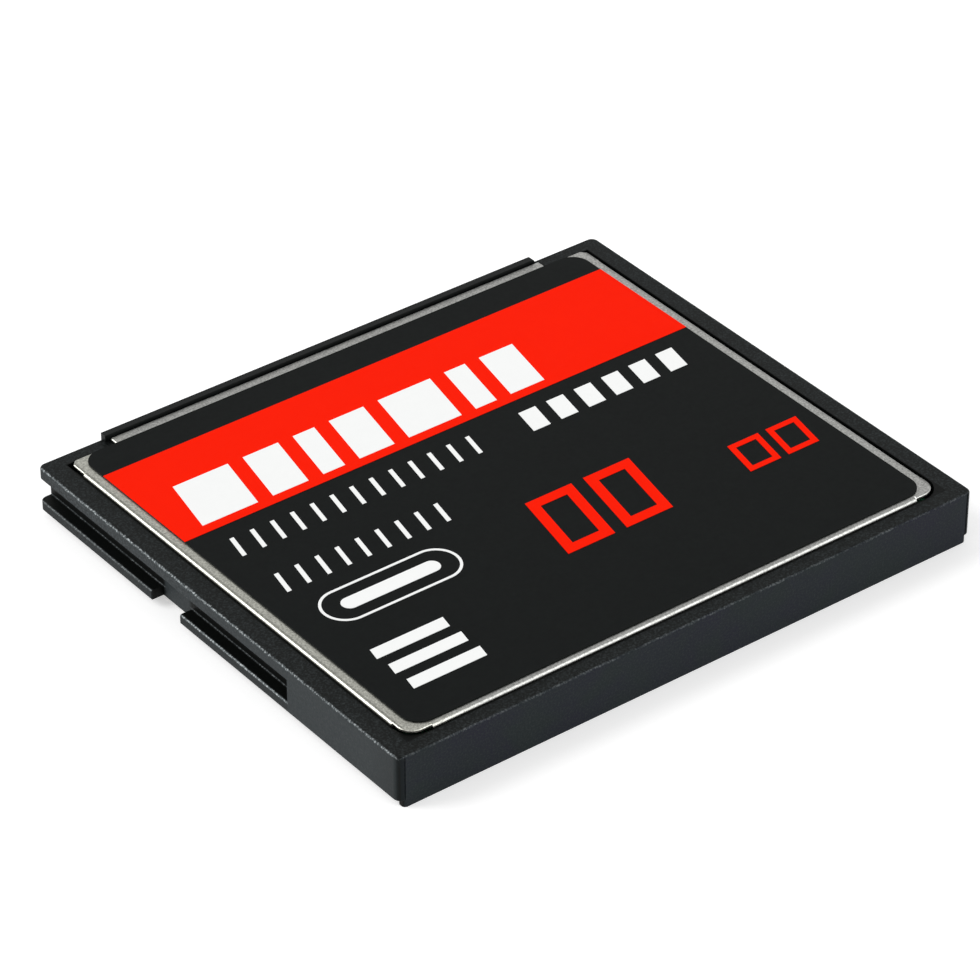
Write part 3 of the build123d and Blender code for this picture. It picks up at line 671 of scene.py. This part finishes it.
def resistor_glaze():
    """The chip resistors."""
    # Black overglaze between tinned ends
    return tinned_ceramic(
        "resistor_glaze", "resistors", "Y", length_mm=1.0, pitch_mm=2.0,
        low_hex="#17181A", high_hex="#222326", rough=0.3,
    )


FINISHES = {
    "frame": glass_filled_pbt,
    "top_cover": satin_stainless,
    "bottom_cover": satin_stainless,
    "label_film": black_polyester_film,
    "label_red_band": red_ink,
    "label_red_print": red_ink,
    "label_white_print": white_ink,
    "connector_housing": liquid_crystal_polymer,
    "upper_contacts": gold_plate,
    "lower_contacts": gold_plate,
    "circuit_board": solder_resist,
    "flash_chip_top": package_resin,
    "flash_chip_bottom": package_resin,
    "controller_chip": package_resin,
    "voltage_regulator": package_resin,
    "flash_chip_top_leads": matt_tin,
    "flash_chip_bottom_leads": matt_tin,
    "controller_leads": matt_tin,
    "regulator_leads": matt_tin,
    "crystal": nickel_can,
    "capacitors": capacitor_ceramic,
    "resistors": resistor_glaze,
}


def dress_the_pieces():
    """Gives each piece of the card its material. Pieces of one finish share it."""
    made = {}
    for node, finish in FINISHES.items():
        if finish not in made:
            made[finish] = finish()
        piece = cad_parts[node]
        if not piece.material_slots:
            piece.data.materials.append(made[finish])
        for held in piece.material_slots:
            held.material = made[finish]


def feet_of_a_row(node, side, count, pitch_mm):
    """Where the feet of a row of leads end, on the face of the board that they stand on."""
    low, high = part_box(node)
    middle = (low + high) / 2
    surface = BOARD_HIGH.z if middle.z > BOARD_MIDDLE else BOARD_LOW.z
    outward = Vector((*side, 0.0))
    along = Vector((-outward.y, outward.x, 0.0))
    end_of_foot = middle + outward * abs((high - low).dot(outward)) / 2
    feet = []
    for index in range(count):
        foot = end_of_foot + along * (index - (count - 1) / 2) * pitch_mm * MM
        feet.append((foot.x, foot.y, surface))
    return feet


def bead_tree(solder):
    """Geometry nodes that set a rounded bead on every point, no two quite alike."""
    tree = bpy.data.node_groups.new("solder_beads", "GeometryNodeTree")
    tree.interface.new_socket("Geometry", in_out="INPUT", socket_type="NodeSocketGeometry")
    for name in ("Bead Width", "Bead Height", "Smallest"):
        tree.interface.new_socket(name, in_out="INPUT", socket_type="NodeSocketFloat")
    tree.interface.new_socket("Geometry", in_out="OUTPUT", socket_type="NodeSocketGeometry")
    bead = add(tree, "GeometryNodeMeshUVSphere", {"Segments": 12, "Rings": 6, "Radius": 0.5})
    width = add(tree, "NodeGroupInput", output="Bead Width")
    height = add(tree, "NodeGroupInput", output="Bead Height")
    size = add(tree, "ShaderNodeCombineXYZ", {"X": width, "Y": width, "Z": height})
    smallest = add(tree, "NodeGroupInput", output="Smallest")
    share = add(tree, "FunctionNodeRandomValue", {
        2: smallest, 3: 1.0, "Seed": BEAD_SEED,
    }, output=1, data_type="FLOAT")
    size = add(tree, "ShaderNodeVectorMath", {0: size, "Scale": share}, operation="SCALE")
    points = add(tree, "NodeGroupInput", output="Geometry")
    beads = add(tree, "GeometryNodeInstanceOnPoints", {
        "Points": points, "Instance": bead, "Scale": size,
    })
    beads = add(tree, "GeometryNodeRealizeInstances", {"Geometry": beads})
    beads = add(tree, "GeometryNodeSetShadeSmooth", {"Geometry": beads})
    beads = add(tree, "GeometryNodeSetMaterial", {"Geometry": beads, "Material": solder})
    add(tree, "NodeGroupOutput", {"Geometry": beads})
    return tree


def solder_the_feet():
    """A bead of solder at the foot of every lead and contact tail."""
    feet = [foot for row in SOLDERED_ROWS for foot in feet_of_a_row(*row)]
    mesh = bpy.data.meshes.new("solder_joints")
    mesh.from_pydata(feet, [], [])
    piece = bpy.data.objects.new("solder_joints", mesh)
    bpy.context.scene.collection.objects.link(piece)
    tree = bead_tree(reflowed_solder())
    named = {item.name: item.identifier for item in tree.interface.items_tree if item.in_out == "INPUT"}
    beads = piece.modifiers.new("beads", "NODES")
    beads.node_group = tree
    beads[named["Bead Width"]] = BEAD_WIDTH_MM * MM
    beads[named["Bead Height"]] = BEAD_HEIGHT_MM * MM
    beads[named["Smallest"]] = SMALLEST_BEAD
    shaped = piece.evaluated_get(bpy.context.evaluated_depsgraph_get())
    piece.data = bpy.data.meshes.new_from_object(shaped)
    piece.modifiers.remove(beads)
    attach(piece, "root")


def lay_the_floor():
    """A pale floor. It looks white, keeps the card's shadow, and can't be seen from below."""
    turns = [(-1, -1), (1, -1), (1, 1), (-1, 1)]
    corners = [(x * FLOOR_HALF, y * FLOOR_HALF, 0) for x, y in turns]
    mesh = bpy.data.meshes.new("floor")
    mesh.from_pydata(corners, [], [(0, 1, 2, 3)])
    floor = bpy.data.objects.new("floor", mesh)
    bpy.context.scene.collection.objects.link(floor)
    material = bpy.data.materials.new("floor_paint")
    material.use_nodes = True
    tree = material.node_tree
    tree.nodes.clear()
    matt = add(tree, "ShaderNodeBsdfDiffuse", {"Color": linear("#E6E6E6")})
    glow = add(tree, "ShaderNodeEmission", {"Color": (1, 1, 1, 1), "Strength": 0.45})
    lit = add(tree, "ShaderNodeAddShader", {0: matt, 1: glow})
    seen = add(tree, "ShaderNodeLightPath", output="Is Camera Ray")
    for ray in ("Is Glossy Ray", "Is Transmission Ray"):
        other = add(tree, "ShaderNodeLightPath", output=ray)
        seen = add(tree, "ShaderNodeMath", {0: seen, 1: other}, operation="MAXIMUM")
    mixed = add(tree, "ShaderNodeMixShader", {0: seen, 1: matt, 2: lit})
    unseen = add(tree, "ShaderNodeBsdfTransparent")
    below = add(tree, "ShaderNodeNewGeometry", output="Backfacing")
    one_sided = add(tree, "ShaderNodeMixShader", {0: below, 1: mixed, 2: unseen})
    add(tree, "ShaderNodeOutputMaterial", {"Surface": one_sided})
    mesh.materials.append(material)


def hang_the_sky():
    """White behind the card for the camera and in reflections, and a softer grey that lights it."""
    world = bpy.data.worlds.new("studio")
    bpy.context.scene.world = world
    world.use_nodes = True
    tree = world.node_tree
    tree.nodes.clear()
    direction = add(tree, "ShaderNodeTexCoord", output="Generated")
    height = add(tree, "ShaderNodeSeparateXYZ", {0: direction}, output="Z")
    overhead = add(tree, "ShaderNodeMapRange", {
        "Value": height, "From Min": 0.25, "From Max": 0.6, "To Min": 1.0, "To Max": 0.55,
    })
    forward = add(tree, "ShaderNodeSeparateXYZ", {0: direction}, output="Y")
    bounce_card = add(tree, "ShaderNodeMapRange", {
        "Value": forward, "From Min": -0.35, "From Max": -0.65, "To Max": 0.45,
    })
    overhead = add(tree, "ShaderNodeMath", {0: overhead, 1: bounce_card}, operation="ADD")
    glossy = add(tree, "ShaderNodeLightPath", output="Is Glossy Ray")
    reflected = add(tree, "ShaderNodeMix", {0: glossy, 2: 0.55, 3: overhead})
    camera_ray = add(tree, "ShaderNodeLightPath", output="Is Camera Ray")
    through = add(tree, "ShaderNodeLightPath", output="Is Transmission Ray")
    direct = add(tree, "ShaderNodeMath", {0: camera_ray, 1: through}, operation="MAXIMUM")
    strength = add(tree, "ShaderNodeMix", {0: direct, 2: reflected, 3: 1.0})
    sky = add(tree, "ShaderNodeBackground", {"Color": (1, 1, 1, 1), "Strength": strength})
    add(tree, "ShaderNodeOutputWorld", {"Surface": sky})


def hang_lamp(name, towards, strength, spread_deg):
    """A broad far lamp that shines from a direction on the card."""
    data = bpy.data.lights.new(name, "SUN")
    data.energy = strength
    data.angle = math.radians(spread_deg)
    lamp = bpy.data.objects.new(name, data)
    lamp.rotation_euler = Vector(towards).to_track_quat("Z", "Y").to_euler()
    bpy.context.scene.collection.objects.link(lamp)


def set_the_camera():
    """The camera, at the photograph's angle and distance."""
    data = bpy.data.cameras.new("camera")
    data.lens = CAMERA_LENS_MM
    data.sensor_width = SENSOR_MM
    data.clip_start = CAMERA_NEAREST
    data.clip_end = CAMERA_FARTHEST
    camera = bpy.data.objects.new("camera", data)
    place = Vector(CAMERA_PLACE_MM) * MM
    look = place - Vector(CAMERA_AIM_MM) * MM
    turn = look.to_track_quat("Z", "Y").to_matrix().to_4x4()
    roll = Matrix.Rotation(math.radians(CAMERA_ROLL_DEG), 4, "Z")
    camera.matrix_world = Matrix.Translation(place) @ turn @ roll
    bpy.context.scene.collection.objects.link(camera)
    bpy.context.scene.camera = camera


bpy.context.scene.view_settings.view_transform = "Standard"
set_the_camera()
hang_the_sky()
for lamp in LAMPS:
    hang_lamp(*lamp)
lay_the_floor()
dress_the_pieces()
solder_the_feet()
